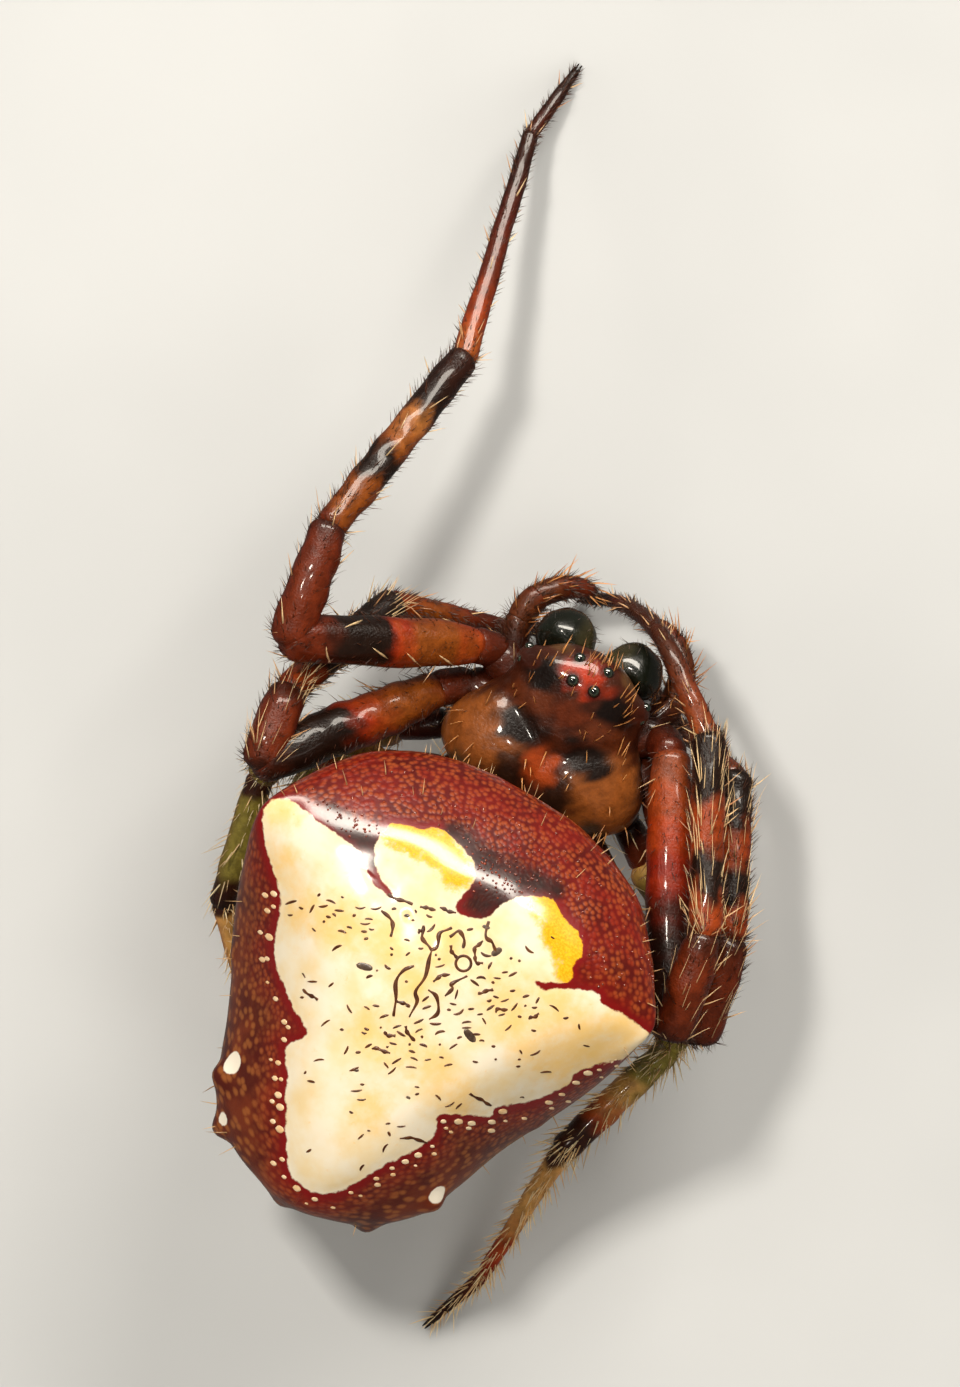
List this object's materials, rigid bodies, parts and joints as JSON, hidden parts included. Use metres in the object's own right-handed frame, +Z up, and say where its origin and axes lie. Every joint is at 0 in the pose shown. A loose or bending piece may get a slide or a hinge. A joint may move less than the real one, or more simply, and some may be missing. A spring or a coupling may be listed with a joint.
{
  "type": "triangle orb weaver spider",
  "caption": "Life-size still model of a female triangle orb weaver spider with a broad triangular abdomen, standing with its legs drawn in and a front leg stretched forward.",
  "frame": {"origin": "on the floor under the middle of the whole spider", "axes": "+X towards the spider's right, +Y the way it faces, +Z up"},
  "size_m": [0.0076, 0.015, 0.0049],
  "materials": {
    "abdomen_skin": "glossy skin, cream plate on deep red",
    "spinneret_skin": "matt brown",
    "carapace_skin": "polished brown",
    "jaw_skin": "polished green black",
    "palp_skin": "glossy red brown, bristly",
    "eye_lens": "polished lens",
    "femur_skin": "glossy orange with dark bands",
    "tibia_skin": "glossy dark red brown with orange bands, bristly",
    "foot_skin": "satin red brown, bristly"
  },
  "bodies": {
    "root": {"abdomen": "abdomen_skin", "spinnerets": "spinneret_skin", "cephalothorax": "carapace_skin", "chelicera_left": "jaw_skin", "chelicera_right": "jaw_skin", "palp_left": "palp_skin", "palp_right": "palp_skin", "eye_front_left": "eye_lens", "eye_front_right": "eye_lens", "eye_back_left": "eye_lens", "eye_back_right": "eye_lens", "eye_side_front_left": "eye_lens", "eye_side_front_right": "eye_lens", "eye_side_back_left": "eye_lens", "eye_side_back_right": "eye_lens", "leg_left_1_femur": "femur_skin", "leg_left_1_tibia": "tibia_skin", "leg_left_1_foot": "foot_skin", "leg_left_2_femur": "femur_skin", "leg_left_2_tibia": "tibia_skin", "leg_left_2_foot": "foot_skin", "leg_left_3_femur": "femur_skin", "leg_left_3_tibia": "tibia_skin", "leg_left_3_foot": "foot_skin", "leg_left_4_femur": "femur_skin", "leg_left_4_tibia": "tibia_skin", "leg_left_4_foot": "foot_skin", "leg_right_1_femur": "femur_skin", "leg_right_1_tibia": "tibia_skin", "leg_right_1_foot": "foot_skin", "leg_right_2_femur": "femur_skin", "leg_right_2_tibia": "tibia_skin", "leg_right_2_foot": "foot_skin", "leg_right_3_femur": "femur_skin", "leg_right_3_tibia": "tibia_skin", "leg_right_3_foot": "foot_skin", "leg_right_4_femur": "femur_skin", "leg_right_4_tibia": "tibia_skin", "leg_right_4_foot": "foot_skin"}
  },
  "joints": []
}
